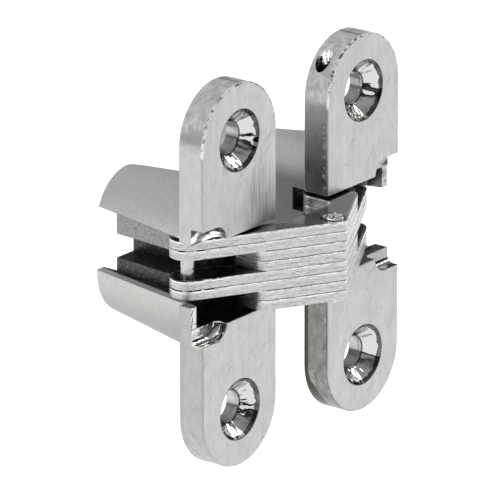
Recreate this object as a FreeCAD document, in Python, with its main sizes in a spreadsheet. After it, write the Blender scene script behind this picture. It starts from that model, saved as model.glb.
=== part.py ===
import FreeCAD, Part
import Sketcher
import os

# Concealed door hinge, shown fully open.
# The frame sits on the seat of the left leaf, behind its plate, midway between its two screws.
# X runs from the left leaf to the right leaf, Y runs into the door edge, Z runs up.

Vector = FreeCAD.Vector
Rotation = FreeCAD.Rotation
Placement = FreeCAD.Placement

doc = FreeCAD.newDocument("Hinge")

# Driving sizes in millimetres
SIZES = (
    ("plate_width", 12.7),
    ("plate_height", 42.86),
    ("plate_thick", 3.2),
    ("leaf_gap", 8.95),
    ("screw_spacing", 30.2),
    ("screw_bore", 3.5),
    ("screw_sink", 6.8),
    ("shell_depth", 17.4),
    ("shell_height", 18.7),
    ("shell_height_rear", 16.6),
    ("shell_side_inset", 0.65),
    ("shell_side_inset_rear", 3.6),
    ("shell_inner_inset", 0.45),
    ("shell_round", 5.6),
    ("shell_inner_round", 3.6),
    ("core_wall", 1.25),
    ("recess_height", 9.4),
    ("recess_depth", 5.1),
    ("cheek_front", 1.6),
    ("cheek_wall", 0.9),
    ("sill_front", 3.6),
    ("sill_wall", 1.2),
    ("sill_play", 0.1),
    ("slideway_top", 4.8),
    ("slideway_floor", 2.3),
    ("slideway_wall", 5.45),
    ("rail_end", 15.2),
    ("rail_front_inset", 3.67),
    ("rail_rear_inset", 4.42),
    ("rail_upper_base", 2.05),
    ("rail_lower_top", 0.65),
    ("eye_relief", 2.5),
    ("rivet_relief", 1.95),
    ("rivet_relief_inset", 2.3),
    ("rivet_relief_depth", 1.5),
    ("rivet_relief_round", 0.8),
    ("rivet_relief_height", 4.5),
    ("pivot_inset", 1.75),
    ("pivot_depth", 1.85),
    ("pivot_pin", 1.6),
    ("pivot_mouth", 1.9),
    ("pivot_mouth_start", 8.0),
    ("pivot_pin_half", 7.0),
    ("apex_reach", 4.2),
    ("link_pitch", 1.1125),
    ("link_thick", 1.08),
    ("link_gap", 0.016),
    ("link_nose", 1.8),
    ("link_heel", 3.03),
    ("link_foot_in", 2.2),
    ("link_foot_back", 2.2),
    ("link_arm_start", 4.0),
    ("slide_reach", 14.1),
    ("slide_depth", 8.65),
    ("tip_back_across", 0.504),
    ("tip_back_depth", 2.906),
    ("tip_front_across", 2.707),
    ("tip_front_depth", 0.684),
    ("tip_round", 1.9),
    ("foot_round", 2.1),
    ("toe_round", 1.5),
    ("heel_round", 1.0),
    ("elbow_round", 2.5),
    ("nose_round", 0.35),
    ("slide_pin", 1.6),
    ("centre_pin", 2.0),
    ("rivet_head", 2.5),
    ("rivet_rise", 0.42),
    ("pin_play", 0.03),
    ("face_edge_round", 0.22),
    ("seat_edge_round", 0.12),
    ("shell_end_round", 0.3),
    ("slot_edge_round", 0.12),
)

sheet = doc.addObject("Spreadsheet::Sheet", "sizes")
for row, (alias, value) in enumerate(SIZES, start=1):
    sheet.set("A%d" % row, alias)
    sheet.set("B%d" % row, str(value))
    sheet.setAlias("B%d" % row, alias)
doc.recompute()

VALUE = dict(SIZES)

# Named lengths used by several sub-parts
HALF_WIDTH = "sizes.plate_width / 2"
OUTER_EDGE = "-sizes.plate_width / 2"
APEX_X = "sizes.plate_width / 2 + sizes.leaf_gap / 2"
FAR_LEAF_X = "sizes.plate_width + sizes.leaf_gap"
PIVOT_X = "sizes.plate_width / 2 - sizes.pivot_inset"
LINK_PIVOT_X = "sizes.leaf_gap / 2 + sizes.pivot_inset"
LINK_PIVOT_Y = "sizes.apex_reach + sizes.pivot_depth"
FACE_Y = "-sizes.plate_thick"
REACH_PAST_SIDE = 3.0
SHELL_ROOT = 0.2
HALF_TURN = 180.0
FULL_TURN = 360.0


def evaluate(expression):
    """Return the present number of an expression made of named sizes."""
    text = expression
    for alias in sorted(VALUE, key=len, reverse=True):
        text = text.replace("sizes." + alias, repr(VALUE[alias]))
    result = sheet.evalExpression(text)
    return float(getattr(result, "Value", result))


def sketch_on(body, role, name, lift="0"):
    """Add a sketch on an origin plane of the body, lifted along the plane's normal."""
    sketch = body.newObject("Sketcher::SketchObject", name)
    plane = [item for item in body.Origin.OriginFeatures if item.Role == role][0]
    sketch.AttachmentSupport = [(plane, "")]
    sketch.MapMode = "FlatFace"
    if lift != "0":
        sketch.setExpression("AttachmentOffset.Base.z", lift)
    return sketch


def bind(sketch, constraint, expression):
    """Add one dimension to a sketch and bind it to an expression."""
    index = sketch.addConstraint(constraint)
    sketch.setExpression("Constraints[%d]" % index, expression)
    return index


def hold_point(sketch, geometry, position, x_text, y_text):
    """Fix one sketch point by its two distances from the sketch origin."""
    x_value = evaluate(x_text)
    y_value = evaluate(y_text)
    if x_text == "0":
        sketch.addConstraint(Sketcher.Constraint("PointOnObject", geometry, position, -2))
    else:
        bind(sketch, Sketcher.Constraint("DistanceX", -1, 1, geometry, position, x_value), x_text)
    if y_text == "0":
        sketch.addConstraint(Sketcher.Constraint("PointOnObject", geometry, position, -1))
    else:
        bind(sketch, Sketcher.Constraint("DistanceY", -1, 1, geometry, position, y_value), y_text)


def polygon(sketch, corners):
    """Draw a closed outline with straight sides through bound corners."""
    points = [Vector(evaluate(x), evaluate(y), 0) for x, y in corners]
    count = len(points)
    for number in range(count):
        sketch.addGeometry(Part.LineSegment(points[number], points[(number + 1) % count]), False)
    for number in range(count):
        sketch.addConstraint(Sketcher.Constraint("Coincident", number, 2, (number + 1) % count, 1))
    for number, (x_text, y_text) in enumerate(corners):
        hold_point(sketch, number, 1, x_text, y_text)


def circle(sketch, x_text, y_text, radius_text):
    """Draw one circle with a bound centre and radius."""
    centre = Vector(evaluate(x_text), evaluate(y_text), 0)
    index = sketch.addGeometry(Part.Circle(centre, Vector(0, 0, 1), evaluate(radius_text)), False)
    hold_point(sketch, index, 3, x_text, y_text)
    bind(sketch, Sketcher.Constraint("Radius", index, evaluate(radius_text)), radius_text)


def stadium(sketch, radius_text, half_text):
    """Draw an upright outline with two half-round ends."""
    radius = evaluate(radius_text)
    half = evaluate(half_text)
    upper = Part.ArcOfCircle(Part.Circle(Vector(0, half, 0), Vector(0, 0, 1), radius), 0.0, 3.14159265)
    lower = Part.ArcOfCircle(
        Part.Circle(Vector(0, -half, 0), Vector(0, 0, 1), radius), 3.14159265, 6.2831853)
    sketch.addGeometry(upper, False)
    sketch.addGeometry(Part.LineSegment(Vector(-radius, half, 0), Vector(-radius, -half, 0)), False)
    sketch.addGeometry(lower, False)
    sketch.addGeometry(Part.LineSegment(Vector(radius, -half, 0), Vector(radius, half, 0)), False)
    sketch.addConstraint(Sketcher.Constraint("Tangent", 0, 2, 1, 1))
    sketch.addConstraint(Sketcher.Constraint("Tangent", 1, 2, 2, 1))
    sketch.addConstraint(Sketcher.Constraint("Tangent", 2, 2, 3, 1))
    sketch.addConstraint(Sketcher.Constraint("Tangent", 3, 2, 0, 1))
    sketch.addConstraint(Sketcher.Constraint("Vertical", 1))
    sketch.addConstraint(Sketcher.Constraint("PointOnObject", 0, 3, -2))
    bind(sketch, Sketcher.Constraint("DistanceY", -1, 1, 0, 3, half), half_text)
    bind(sketch, Sketcher.Constraint("DistanceY", 2, 3, -1, 1, half), half_text)
    bind(sketch, Sketcher.Constraint("Radius", 0, radius), radius_text)


def pad(body, name, sketch, length, reverse=False):
    """Grow a sketch into material."""
    feature = body.newObject("PartDesign::Pad", name)
    feature.Profile = sketch
    feature.setExpression("Length", length)
    feature.Reversed = reverse
    sketch.Visibility = False
    return feature


def pocket(body, name, sketch, length, reverse=False):
    """Cut a sketch into the material."""
    feature = body.newObject("PartDesign::Pocket", name)
    feature.Profile = sketch
    feature.setExpression("Length", length)
    feature.Reversed = reverse
    sketch.Visibility = False
    return feature


def edges_where(shape, test):
    """Name the edges of a shape that pass a test."""
    return ["Edge%d" % (number + 1) for number, edge in enumerate(shape.Edges) if test(edge)]


def round_edges(body, name, base, names, radius):
    """Round the named edges of the base feature."""
    feature = body.newObject("PartDesign::Fillet", name)
    feature.Base = (base, names)
    feature.setExpression("Radius", radius)
    base.Visibility = False
    return feature


def upright_near(x_value, y_value):
    """Make a test for an upright edge that stands at a point."""
    def test(edge):
        box = edge.BoundBox
        close = abs(box.XMin - x_value) < 0.02 and abs(box.YMin - y_value) < 0.02
        return close and box.ZLength > 0.5 and box.XLength < 0.01 and box.YLength < 0.01
    return test


def make_leaf(name, label):
    """Build one cast leaf: face plate, tapered shell, slideway, rails and bores."""
    body = doc.addObject("PartDesign::Body", name)
    body.Label = label

    # Face plate with half-round ends
    face = sketch_on(body, "XZ_Plane", name + "_face")
    stadium(face, HALF_WIDTH, "sizes.plate_height / 2 - sizes.plate_width / 2")
    plate = pad(body, name + "_plate", face, "sizes.plate_thick", True)
    doc.recompute()

    def face_rim(edge):
        return edge.BoundBox.YMax < 0.01

    def seat_rim(edge):
        return edge.BoundBox.YMin > VALUE["plate_thick"] - 0.01

    plate = round_edges(body, name + "_face_round", plate, edges_where(plate.Shape, face_rim),
                        "sizes.face_edge_round")
    doc.recompute()
    round_edges(body, name + "_seat_round", plate, edges_where(plate.Shape, seat_rim),
                "sizes.seat_edge_round")
    doc.recompute()

    # Shell behind the plate, narrower and lower towards the rear
    front = sketch_on(body, "XZ_Plane", name + "_shell_front", "%s - sizes.plate_thick" % SHELL_ROOT)
    inner_x = "sizes.plate_width / 2 - sizes.shell_inner_inset"
    front_x = "sizes.shell_side_inset - sizes.plate_width / 2"
    rear_x = "sizes.shell_side_inset_rear - sizes.plate_width / 2"
    polygon(front, (
        (front_x, "-sizes.shell_height / 2"),
        (inner_x, "-sizes.shell_height / 2"),
        (inner_x, "sizes.shell_height / 2"),
        (front_x, "sizes.shell_height / 2"),
    ))
    rear = sketch_on(body, "XZ_Plane", name + "_shell_rear", "-sizes.shell_depth")
    polygon(rear, (
        (rear_x, "-sizes.shell_height_rear / 2"),
        (inner_x, "-sizes.shell_height_rear / 2"),
        (inner_x, "sizes.shell_height_rear / 2"),
        (rear_x, "sizes.shell_height_rear / 2"),
    ))
    loft = body.newObject("PartDesign::AdditiveLoft", name + "_shell")
    loft.Profile = front
    loft.Sections = [rear]
    front.Visibility = False
    rear.Visibility = False
    doc.recompute()
    shell_length = VALUE["shell_depth"] - VALUE["plate_thick"] - 1.0

    def outer_long(edge):
        box = edge.BoundBox
        return box.YLength > shell_length and box.XMax < 0 and abs(box.Center.z) > 5

    def inner_long(edge):
        box = edge.BoundBox
        return box.YLength > shell_length and box.XMin > 0 and abs(box.Center.z) > 5

    rounded = round_edges(body, name + "_shell_round", loft, edges_where(loft.Shape, outer_long),
                          "sizes.shell_round")
    doc.recompute()
    rounded = round_edges(body, name + "_shell_soft", rounded, edges_where(rounded.Shape, inner_long),
                          "sizes.shell_inner_round")
    doc.recompute()

    def shell_rim(edge):
        return edge.BoundBox.YMin > VALUE["shell_depth"] - 0.01

    round_edges(body, name + "_shell_end", rounded, edges_where(rounded.Shape, shell_rim),
                "sizes.shell_end_round")
    doc.recompute()

    # Recess across the face for the links
    side = "%s + %s" % (HALF_WIDTH, REACH_PAST_SIDE)
    recess = sketch_on(body, "XZ_Plane", name + "_recess_outline")
    polygon(recess, (
        ("-(%s)" % side, "-sizes.recess_height / 2"),
        (side, "-sizes.recess_height / 2"),
        (side, "sizes.recess_height / 2"),
        ("-(%s)" % side, "sizes.recess_height / 2"),
    ))
    cut = pocket(body, name + "_recess", recess, "sizes.recess_depth")
    doc.recompute()
    recess_z = VALUE["recess_height"] / 2

    def recess_lip(edge):
        box = edge.BoundBox
        level = abs(abs(box.ZMin) - recess_z) < 0.01 and box.ZLength < 0.01
        return level and box.YMax < 0.01 and box.XLength > 6

    round_edges(body, name + "_recess_round", cut, edges_where(cut.Shape, recess_lip),
                "sizes.slot_edge_round")
    doc.recompute()

    # Cheek that closes the outer end of the recess below the slideway
    past_root = "(sizes.shell_side_inset_rear - sizes.shell_side_inset) / (sizes.shell_depth - sizes.plate_thick + %s)"
    slope = past_root % SHELL_ROOT
    side_root = "%s + %s * %s" % (front_x, SHELL_ROOT, slope)
    side_back = "%s + (sizes.recess_depth + 0.1 - sizes.plate_thick + %s) * %s" % (front_x, SHELL_ROOT, slope)
    cheek = sketch_on(body, "XY_Plane", name + "_cheek_outline", "-sizes.recess_height / 2 - 0.1")
    polygon(cheek, (
        ("-(%s)" % HALF_WIDTH, "sizes.cheek_front"),
        ("sizes.cheek_wall - %s" % HALF_WIDTH, "sizes.cheek_front"),
        (side_back + " + sizes.cheek_wall", "sizes.recess_depth + 0.1"),
        (side_back, "sizes.recess_depth + 0.1"),
        (side_root, "sizes.plate_thick"),
        ("-(%s)" % HALF_WIDTH, "sizes.plate_thick"),
    ))
    pad(body, name + "_cheek", cheek, "sizes.recess_height / 2 + 0.1 - sizes.slideway_floor")

    # Sills across the inner end of the recess, between the levels of the link feet
    for sill_name, base, height in (
        ("_sill_lower", "-2 * sizes.link_pitch + sizes.sill_play", "2 * sizes.link_pitch - 2 * sizes.sill_play"),
        ("_sill_upper", "2 * sizes.link_pitch + sizes.sill_play",
         "sizes.recess_height / 2 + 0.1 - 2 * sizes.link_pitch - sizes.sill_play"),
    ):
        sill = sketch_on(body, "XY_Plane", name + sill_name + "_outline", base)
        polygon(sill, (
            (inner_x + " - sizes.sill_wall", "sizes.sill_front"),
            (inner_x, "sizes.sill_front"),
            (inner_x, "sizes.recess_depth + 0.1"),
            (inner_x + " - sizes.sill_wall", "sizes.recess_depth + 0.1"),
        ))
        pad(body, name + sill_name, sill, height)

    # Slideway, open to the outer side and to the rear
    wall_x = "%s - sizes.slideway_wall" % HALF_WIDTH
    slideway = sketch_on(body, "XZ_Plane", name + "_slideway_outline", "-sizes.plate_thick")
    polygon(slideway, (
        ("-(%s)" % side, "-sizes.slideway_floor"),
        (wall_x, "-sizes.slideway_floor"),
        (wall_x, "sizes.slideway_top"),
        ("-(%s)" % side, "sizes.slideway_top"),
    ))
    pocket(body, name + "_slideway", slideway, "sizes.shell_depth")
    rear_gap = sketch_on(body, "XZ_Plane", name + "_rear_outline", "-sizes.rail_end")
    polygon(rear_gap, (
        ("-(%s)" % side, "-sizes.slideway_floor"),
        (side, "-sizes.slideway_floor"),
        (side, "sizes.slideway_top"),
        ("-(%s)" % side, "sizes.slideway_top"),
    ))
    pocket(body, name + "_rear_gap", rear_gap, "sizes.shell_depth")

    # Core pocket in the rear end, behind the rails, with an even wall round it
    core = sketch_on(body, "XZ_Plane", name + "_core_outline", "-sizes.rail_end")
    core_left = rear_x + " + sizes.core_wall"
    core_right = inner_x + " - sizes.core_wall"
    core_corners = (
        (core_left, "sizes.shell_height_rear / 2 - 0.77 * sizes.shell_round"),
        (rear_x + " + 0.4 * sizes.shell_round", "sizes.shell_height_rear / 2 - 0.45 * sizes.shell_round"),
        (rear_x + " + 0.69 * sizes.shell_round", "sizes.shell_height_rear / 2 - sizes.core_wall"),
        (inner_x + " - 0.8 * sizes.shell_inner_round", "sizes.shell_height_rear / 2 - sizes.core_wall"),
        (core_right, "sizes.shell_height_rear / 2 - 0.7 * sizes.shell_inner_round"),
    )
    polygon(core, [(x, "-(%s)" % z) for x, z in core_corners] + list(reversed(core_corners)))
    pocket(body, name + "_core", core, "sizes.shell_depth")

    # Two rails that back up the link ends
    rail_root = "%s + 0.3" % wall_x
    rail_front_x = "sizes.rail_front_inset - sizes.plate_width / 2"
    rail_rear_x = "sizes.rail_rear_inset - sizes.plate_width / 2"
    for rail_name, base, height in (
        ("_rail_upper", "sizes.rail_upper_base", "sizes.slideway_top - sizes.rail_upper_base + 0.1"),
        ("_rail_lower", "-sizes.slideway_floor - 0.1", "sizes.slideway_floor - sizes.rail_lower_top + 0.1"),
    ):
        rail = sketch_on(body, "XY_Plane", name + rail_name + "_outline", base)
        polygon(rail, (
            (rail_root, "sizes.recess_depth"),
            (rail_root, "sizes.rail_end"),
            (rail_rear_x, "sizes.rail_end"),
            (rail_front_x, "sizes.recess_depth + 1.8"),
            (rail_front_x, "sizes.recess_depth"),
        ))
        pad(body, name + rail_name, rail, height)

    # Hollow in the rail fronts for the sliding eyes
    hollow = sketch_on(body, "XY_Plane", name + "_eye_outline", "sizes.slideway_top")
    circle(hollow, "%s - sizes.slide_reach" % APEX_X, "sizes.slide_depth - sizes.apex_reach",
           "sizes.eye_relief")
    pocket(body, name + "_eye_hollow", hollow, "sizes.slideway_top + sizes.slideway_floor")

    # Shallow round-ended reliefs for the rivet heads, above and below the recess, open to the side
    relief_x = "sizes.rivet_relief_inset - sizes.plate_width / 2"
    relief_radius = VALUE["rivet_relief"]
    for relief_name, sense in (("_relief_upper", 1), ("_relief_lower", -1)):
        relief = sketch_on(body, "XZ_Plane", name + relief_name + "_outline")
        relief_z = "%d * sizes.rivet_relief_height" % sense
        inner_z = "%d * (sizes.recess_height / 2 - 0.6)" % sense
        centre = Vector(evaluate(relief_x), evaluate(relief_z), 0)
        far_x = evaluate("-(%s)" % side)
        inner = evaluate(inner_z)
        crest = centre.y + sense * relief_radius
        span = (0.0, 1.5707963) if sense > 0 else (-1.5707963, 0.0)
        crest_point, flank_point = (2, 1) if sense > 0 else (1, 2)
        relief.addGeometry(Part.ArcOfCircle(Part.Circle(centre, Vector(0, 0, 1), relief_radius), *span), False)
        corners = [Vector(centre.x, crest, 0), Vector(far_x, crest, 0), Vector(far_x, inner, 0)]
        corners += [Vector(centre.x + relief_radius, inner, 0), Vector(centre.x + relief_radius, centre.y, 0)]
        for start, end in zip(corners[:-1], corners[1:]):
            relief.addGeometry(Part.LineSegment(start, end), False)
        relief.addConstraint(Sketcher.Constraint("Tangent", 0, crest_point, 1, 1))
        for number in (1, 2, 3):
            relief.addConstraint(Sketcher.Constraint("Coincident", number, 2, number + 1, 1))
        relief.addConstraint(Sketcher.Constraint("Tangent", 4, 2, 0, flank_point))
        for number, lie in ((1, "Horizontal"), (2, "Vertical"), (3, "Horizontal"), (4, "Vertical")):
            relief.addConstraint(Sketcher.Constraint(lie, number))
        hold_point(relief, 0, 3, relief_x, relief_z)
        bind(relief, Sketcher.Constraint("Radius", 0, relief_radius), "sizes.rivet_relief")
        bind(relief, Sketcher.Constraint("DistanceX", -1, 1, 2, 1, far_x), "-(%s)" % side)
        bind(relief, Sketcher.Constraint("DistanceY", -1, 1, 3, 1, inner), inner_z)
        sunk = pocket(body, name + relief_name, relief, "sizes.rivet_relief_depth")
    doc.recompute()

    def relief_floor(edge):
        box = edge.BoundBox
        level = abs(box.YMin - VALUE["rivet_relief_depth"]) < 0.01 and box.YLength < 0.01
        height = max(abs(box.ZMin), abs(box.ZMax))
        reaches = abs(height - VALUE["rivet_relief_height"] - relief_radius) < 0.01
        return level and reaches and box.XLength > 0.5

    round_edges(body, name + "_relief_rounds", sunk, edges_where(sunk.Shape, relief_floor),
                "sizes.rivet_relief_round")

    # Screw holes and their countersinks
    bores = sketch_on(body, "XZ_Plane", name + "_screw_outline")
    circle(bores, "0", "sizes.screw_spacing / 2", "sizes.screw_bore / 2")
    circle(bores, "0", "-sizes.screw_spacing / 2", "sizes.screw_bore / 2")
    drilled = pocket(body, name + "_screw_holes", bores, "sizes.plate_thick + 1")
    doc.recompute()
    bore_radius = VALUE["screw_bore"] / 2

    def hole_mouth(edge):
        if edge.Degenerated:
            return False
        curve = edge.Curve
        is_round = isinstance(curve, Part.Circle) and abs(curve.Radius - bore_radius) < 0.01
        return is_round and abs(edge.BoundBox.YMax) < 0.01

    sink = body.newObject("PartDesign::Chamfer", name + "_countersinks")
    sink.Base = (drilled, edges_where(drilled.Shape, hole_mouth))
    sink.setExpression("Size", "(sizes.screw_sink - sizes.screw_bore) / 2")
    drilled.Visibility = False

    # Bore for the fixed pivot pin, drilled up from the lower end of the plate
    bore = sketch_on(body, "XY_Plane", name + "_pivot_outline", "sizes.pivot_pin_half")
    circle(bore, PIVOT_X, "sizes.pivot_depth", "sizes.pivot_pin / 2")
    pocket(body, name + "_pivot_bore", bore, "sizes.plate_height")
    mouth = sketch_on(body, "XY_Plane", name + "_mouth_outline", "-sizes.pivot_mouth_start")
    circle(mouth, PIVOT_X, "sizes.pivot_depth", "sizes.pivot_mouth / 2")
    pocket(body, name + "_pivot_mouth", mouth, "sizes.plate_height")
    doc.recompute()
    return body


def make_link(name, label, level, long_side_left):
    """Build one dog-leg link lamination about the centre pin."""
    body = doc.addObject("PartDesign::Body", name)
    body.Label = label
    outline = sketch_on(body, "XY_Plane", name + "_outline")
    toe_x = "%s + sizes.link_foot_in" % LINK_PIVOT_X
    foot_x = "%s - sizes.link_foot_in" % LINK_PIVOT_X
    foot_y = "%s + sizes.link_foot_back" % LINK_PIVOT_Y
    corners = (
        ("0", "-sizes.link_nose"),
        (toe_x, "sizes.link_heel"),
        (toe_x, foot_y),
        (foot_x, foot_y),
        (foot_x, "sizes.link_heel"),
        ("-sizes.link_arm_start", "sizes.link_heel"),
        ("-sizes.slide_reach - sizes.tip_back_across", "sizes.slide_depth + sizes.tip_back_depth"),
        ("-sizes.slide_reach - sizes.tip_front_across", "sizes.slide_depth - sizes.tip_front_depth"),
    )
    polygon(outline, corners)
    current = pad(body, name + "_blank", outline, "sizes.link_thick")
    doc.recompute()
    points = [(evaluate(x), evaluate(y)) for x, y in corners]
    rounds = (
        ("_tip", (6, 7), "sizes.tip_round"),
        ("_foot", (2, 3), "sizes.foot_round"),
        ("_toe", (1,), "sizes.toe_round"),
        ("_heel", (4,), "sizes.heel_round"),
        ("_elbow", (5,), "sizes.elbow_round"),
        ("_nose", (0,), "sizes.nose_round"),
    )
    for suffix, numbers, radius in rounds:
        names = []
        for number in numbers:
            names += edges_where(current.Shape, upright_near(*points[number]))
        current = round_edges(body, name + suffix, current, names, radius)
        doc.recompute()
    play = "0" if long_side_left else "sizes.pin_play"
    holes = sketch_on(body, "XY_Plane", name + "_holes")
    circle(holes, "0", "0", "sizes.centre_pin / 2 + %s" % play)
    circle(holes, LINK_PIVOT_X, LINK_PIVOT_Y, "sizes.pivot_pin / 2 + sizes.pin_play")
    circle(holes, "-sizes.slide_reach", "sizes.slide_depth", "sizes.slide_pin / 2")
    pocket(body, name + "_pierced", holes, "sizes.link_thick", True)
    body.setExpression("Placement.Base.x", APEX_X)
    body.setExpression("Placement.Base.y", "-sizes.apex_reach - sizes.plate_thick")
    if long_side_left:
        body.setExpression("Placement.Base.z", "sizes.link_pitch * %d + sizes.link_gap" % level)
    else:
        body.Placement = Placement(Vector(0, 0, 0), Rotation(Vector(0, 1, 0), HALF_TURN))
        body.setExpression("Placement.Base.z", "-(sizes.link_pitch * %d + sizes.link_gap)" % level)
    doc.recompute()
    return body


def make_pin(name, label, radius, low, high):
    """Build one plain round pin standing on Z."""
    body = doc.addObject("PartDesign::Body", name)
    body.Label = label
    section = sketch_on(body, "XY_Plane", name + "_section", low)
    circle(section, "0", "0", radius)
    pad(body, name + "_shank", section, "(%s) - (%s)" % (high, low))
    doc.recompute()
    return body


# The two cast leaves: the right one is the same casting turned about Y
left_leaf = make_leaf("LeftLeaf", "left_leaf")
right_leaf = make_leaf("RightLeaf", "right_leaf")
right_leaf.Placement = Placement(Vector(0, 0, 0), Rotation(Vector(0, 1, 0), HALF_TURN))
right_leaf.setExpression("Placement.Base.x", FAR_LEAF_X)
left_leaf.setExpression("Placement.Base.y", FACE_Y)
right_leaf.setExpression("Placement.Base.y", FACE_Y)

# Link laminations, counted from the middle of the stack
LEFT_LEVELS = (("left_link_1", 3), ("left_link_2", 2), ("left_link_3", -1), ("left_link_4", -2))
RIGHT_LEVELS = (("right_link_1", -2), ("right_link_2", -1), ("right_link_3", 2), ("right_link_4", 3))
links = []
for label, level in LEFT_LEVELS:
    links.append(make_link("L" + label[-1] + "Link", label, level, True))
for label, level in RIGHT_LEVELS:
    links.append(make_link("R" + label[-1] + "Link", label, level, False))

# Centre pin with a spread head at each end
STACK_TOP = "sizes.link_pitch * 4"
centre = doc.addObject("PartDesign::Body", "CentrePin")
centre.Label = "centre_pin"
profile = sketch_on(centre, "XZ_Plane", "CentrePin_profile")
head_r = "sizes.rivet_head / 2"
polygon(profile, (
    ("0", "-(%s) - sizes.rivet_rise" % STACK_TOP),
    ("%s * 0.62" % head_r, "-(%s) - sizes.rivet_rise * 0.92" % STACK_TOP),
    (head_r, "-(%s) - sizes.rivet_rise * 0.4" % STACK_TOP),
    (head_r, "-(%s)" % STACK_TOP),
    ("sizes.centre_pin / 2", "-(%s)" % STACK_TOP),
    ("sizes.centre_pin / 2", "%s - sizes.link_gap" % STACK_TOP),
    (head_r, "%s - sizes.link_gap" % STACK_TOP),
    (head_r, "%s + sizes.rivet_rise * 0.4" % STACK_TOP),
    ("%s * 0.62" % head_r, "%s + sizes.rivet_rise * 0.92" % STACK_TOP),
    ("0", "%s + sizes.rivet_rise" % STACK_TOP),
))
turned = centre.newObject("PartDesign::Revolution", "CentrePin_turned")
turned.Profile = profile
turned.ReferenceAxis = (profile, ["V_Axis"])
turned.Angle = FULL_TURN
profile.Visibility = False
centre.setExpression("Placement.Base.x", APEX_X)
centre.setExpression("Placement.Base.y", "-sizes.apex_reach - sizes.plate_thick")

# Fixed pivot pins, one pressed in each leaf
left_pivot = make_pin("LeftPivot", "left_pivot_pin", "sizes.pivot_pin / 2",
                      "-sizes.pivot_pin_half", "sizes.pivot_pin_half")
left_pivot.setExpression("Placement.Base.x", PIVOT_X)
left_pivot.setExpression("Placement.Base.y", "sizes.pivot_depth - sizes.plate_thick")
right_pivot = make_pin("RightPivot", "right_pivot_pin", "sizes.pivot_pin / 2",
                       "-sizes.pivot_pin_half", "sizes.pivot_pin_half")
right_pivot.setExpression("Placement.Base.x", "%s - (%s)" % (FAR_LEAF_X, PIVOT_X))
right_pivot.setExpression("Placement.Base.y", "sizes.pivot_depth - sizes.plate_thick")

# Sliding pins, one through the long ends of each link set
SLIDE_Y = "sizes.slide_depth - sizes.apex_reach - sizes.plate_thick"
SLIDE_LOW = "-sizes.link_pitch * 2 + sizes.link_gap"
SLIDE_HIGH = "sizes.link_pitch * 3 + sizes.link_gap + sizes.link_thick"
left_slider = make_pin("LeftSlider", "left_slide_pin", "sizes.slide_pin / 2", SLIDE_LOW, SLIDE_HIGH)
left_slider.setExpression("Placement.Base.x", "%s - sizes.slide_reach" % APEX_X)
left_slider.setExpression("Placement.Base.y", SLIDE_Y)
right_slider = make_pin("RightSlider", "right_slide_pin", "sizes.slide_pin / 2",
                        "-(%s)" % SLIDE_HIGH, "-(%s)" % SLIDE_LOW)
right_slider.setExpression("Placement.Base.x", "%s + sizes.slide_reach" % APEX_X)
right_slider.setExpression("Placement.Base.y", SLIDE_Y)
doc.recompute()

sub_parts = [left_leaf, right_leaf] + links + [centre, left_pivot, right_pivot, left_slider, right_slider]

# Soundness of every feature and every finished sub-part
for item in doc.Objects:
    if "Invalid" in item.State or "Error" in item.State:
        raise RuntimeError("feature not sound: " + item.Name)
for body in sub_parts:
    shape = body.Shape
    if shape.isNull() or not shape.isValid() or shape.Volume <= 0:
        raise RuntimeError("solid not sound: " + body.Label)

os.makedirs("parts", exist_ok=True)
for body in sub_parts:
    body.Shape.exportStep(os.path.join("parts", body.Label + ".step"))
    box = body.Shape.BoundBox
    print(body.Label, len(body.Shape.Solids), round(body.Shape.Volume, 2),
          [round(v, 2) for v in (box.XMin, box.XMax, box.YMin, box.YMax, box.ZMin, box.ZMax)])
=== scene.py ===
"""Looks of a concealed door hinge: two cast leaves joined by interleaved stamped links.

Lengths in the sizes are in millimetres. The frame is the CAD frame: the origin is on the seat
plane of the left leaf, X runs to the right leaf, Y into the door edge and Z up.
"""

import json
import logging
import math
from dataclasses import dataclass
from enum import Enum
from functools import partialmethod
from types import SimpleNamespace
from typing import Callable, Optional, Sequence, Union

import bpy
import numpy as np
from mathutils import Matrix, Vector
from mathutils.geometry import delaunay_2d_cdt

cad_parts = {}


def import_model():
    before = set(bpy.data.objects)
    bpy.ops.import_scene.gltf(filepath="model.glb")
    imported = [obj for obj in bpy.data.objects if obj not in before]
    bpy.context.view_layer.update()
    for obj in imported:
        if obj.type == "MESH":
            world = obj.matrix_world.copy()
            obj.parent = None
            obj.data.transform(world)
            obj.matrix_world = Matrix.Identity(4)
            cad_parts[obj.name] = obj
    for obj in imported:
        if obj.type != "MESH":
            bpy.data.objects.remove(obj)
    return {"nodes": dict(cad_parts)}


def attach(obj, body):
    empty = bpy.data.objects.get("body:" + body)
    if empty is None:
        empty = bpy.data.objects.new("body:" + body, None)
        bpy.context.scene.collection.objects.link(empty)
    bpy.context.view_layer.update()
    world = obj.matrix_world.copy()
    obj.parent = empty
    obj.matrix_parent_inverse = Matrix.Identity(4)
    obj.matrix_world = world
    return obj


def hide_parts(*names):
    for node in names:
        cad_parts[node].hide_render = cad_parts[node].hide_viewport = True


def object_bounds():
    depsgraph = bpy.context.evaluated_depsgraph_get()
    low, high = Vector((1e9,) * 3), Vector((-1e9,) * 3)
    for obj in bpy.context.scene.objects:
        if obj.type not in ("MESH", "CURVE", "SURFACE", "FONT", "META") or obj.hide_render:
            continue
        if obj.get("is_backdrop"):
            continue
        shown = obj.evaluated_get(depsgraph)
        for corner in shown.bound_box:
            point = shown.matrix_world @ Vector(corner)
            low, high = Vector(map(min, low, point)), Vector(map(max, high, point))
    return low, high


log = logging.getLogger("concealed_hinge")

MM = 0.001
PIVOT_PIN_END = 7.0
SLIDE_PIN_ENDS = (2.209, 4.4335)


class Side(Enum):
    """The two leaves of the hinge."""

    LEFT = "left"
    RIGHT = "right"


class Slot(Enum):
    """Material slots named in the record."""

    CAST = "cast_plate"
    LINK = "link_steel"
    PIN = "pin_steel"


# Shared sizes


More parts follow.
